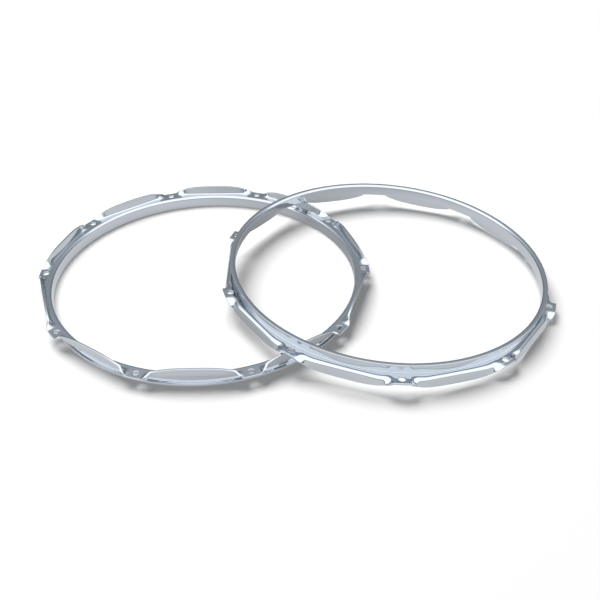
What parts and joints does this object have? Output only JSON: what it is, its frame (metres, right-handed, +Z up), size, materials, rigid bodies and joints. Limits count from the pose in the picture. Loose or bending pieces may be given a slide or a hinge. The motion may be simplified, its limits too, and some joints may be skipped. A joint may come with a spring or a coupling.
{
  "type": "drum hoop",
  "caption": "Matched triple-flanged steel drum hoops with ears for tension rods; the upper hoop leans on the lower, which lies upside down",
  "frame": {"origin": "on the floor, under the middle of the pair", "axes": "+X from the lower hoop to the upper one, along the longest extent; +Y away from the near side; +Z up"},
  "size_m": [0.6076, 0.4002, 0.0465],
  "materials": {
    "chrome_plate": "bright chrome plate on pressed steel"
  },
  "bodies": {
    "lower": {"lower_hoop": "chrome_plate"},
    "upper": {"upper_hoop": "chrome_plate"}
  },
  "joints": [
    {"name": "hoop_lift", "type": "slide", "parent": "lower", "child": "upper", "axis": [0, 0, 1], "range_m": [0, 0.12]}
  ]
}
